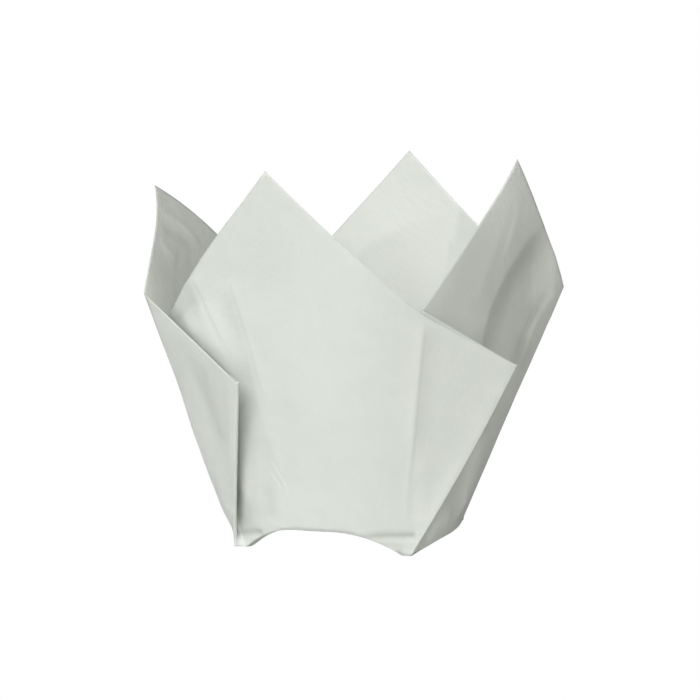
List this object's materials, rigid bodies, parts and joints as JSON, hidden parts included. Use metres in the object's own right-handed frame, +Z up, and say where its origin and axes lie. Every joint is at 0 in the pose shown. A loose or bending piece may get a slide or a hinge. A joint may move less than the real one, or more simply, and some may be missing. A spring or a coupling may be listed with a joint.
{
  "type": "cupcake liner",
  "caption": "Tulip-shaped paper cupcake liner, pressed from one square sheet, with pointed petals standing up and flat pleats folded round its wall.",
  "frame": {"origin": "under the middle of the outline, on the surface that the liner stands on", "axes": "+Z up, out of the cup's mouth; the petal that faces the viewer of the picture is towards -Y, and +X is to that viewer's right"},
  "size_m": [0.0944, 0.0978, 0.085],
  "materials": {
    "paper": "matt greaseproof paper"
  },
  "bodies": {
    "root": {"liner": "paper"}
  },
  "joints": []
}
